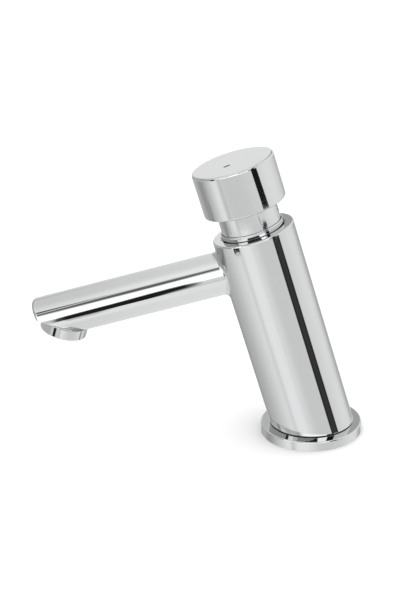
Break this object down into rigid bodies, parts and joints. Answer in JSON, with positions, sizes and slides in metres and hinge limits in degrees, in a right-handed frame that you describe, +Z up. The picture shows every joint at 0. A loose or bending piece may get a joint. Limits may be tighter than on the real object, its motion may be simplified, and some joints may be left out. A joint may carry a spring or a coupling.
{
  "type": "self-closing basin mixer tap",
  "caption": "Self-closing basin mixer tap: leaning chrome cylinder body, straight spout with aerator, push knob that also sets the temperature, round base flange.",
  "frame": {"origin": "centre of the base flange's underside, on the deck of the washbasin", "axes": "+Z up out of the deck, spout towards -Y, hot and cold inlets side by side along X"},
  "size_m": [0.05, 0.1616, 0.1444],
  "materials": {
    "chrome": "polished",
    "brass": "satin",
    "rubber": "matte",
    "spring_steel": "satin",
    "steel": "satin",
    "plastic_black": "matte",
    "plastic_grey": "matte",
    "plastic_white": "satin",
    "plastic_clear_grey": "satin",
    "plastic_green": "matte",
    "ceramic": "matte"
  },
  "bodies": {
    "tap": {"tap_body": "chrome", "base_flange": "chrome", "base_gasket": "rubber", "foot_seal": "rubber", "inlet_manifold": "brass", "manifold_seals": "rubber", "manifold_circlip": "spring_steel", "check_valves": "plastic_black", "return_spring": "spring_steel", "port_seals": "rubber", "cartridge_base": "plastic_grey", "cartridge_o_rings": "rubber", "fixed_ceramic_disc": "ceramic", "cartridge_housing": "plastic_grey", "valve_seat": "brass", "seat_o_ring": "rubber", "cartridge_bonnet": "plastic_grey", "bonnet_o_ring": "rubber", "cylinder_cap": "brass", "stem_seals": "rubber", "timing_jet": "brass", "guide_collar": "chrome", "aerator_collar": "chrome", "aerator_insert": "plastic_white", "aerator_screen": "plastic_clear_grey", "aerator_gasket": "rubber", "flow_regulator": "plastic_green"},
    "temperature_selector": {"disc_carrier": "plastic_white", "moving_ceramic_disc": "ceramic"},
    "knob": {"push_knob": "chrome", "knob_grub_screw": "steel", "knob_adaptor": "brass", "adaptor_screw": "steel", "stem": "brass", "timing_piston": "plastic_white", "piston_lip_seal": "rubber", "valve_poppet": "brass", "poppet_washer": "rubber", "poppet_clip": "spring_steel"}
  },
  "joints": [
    {"name": "temperature_turn", "type": "hinge", "parent": "tap", "child": "temperature_selector", "pos_m": [0, 0.00039, 0.0051], "axis": [0, -0.2588, 0.9659], "range_deg": [-60, 60]},
    {"name": "push", "type": "slide", "parent": "temperature_selector", "child": "knob", "axis": [0, 0.2588, -0.9659], "range_m": [0, 0.006], "stiffness_N_per_m": 1500, "springref_m": -0.01, "deforming": ["return_spring"]}
  ]
}
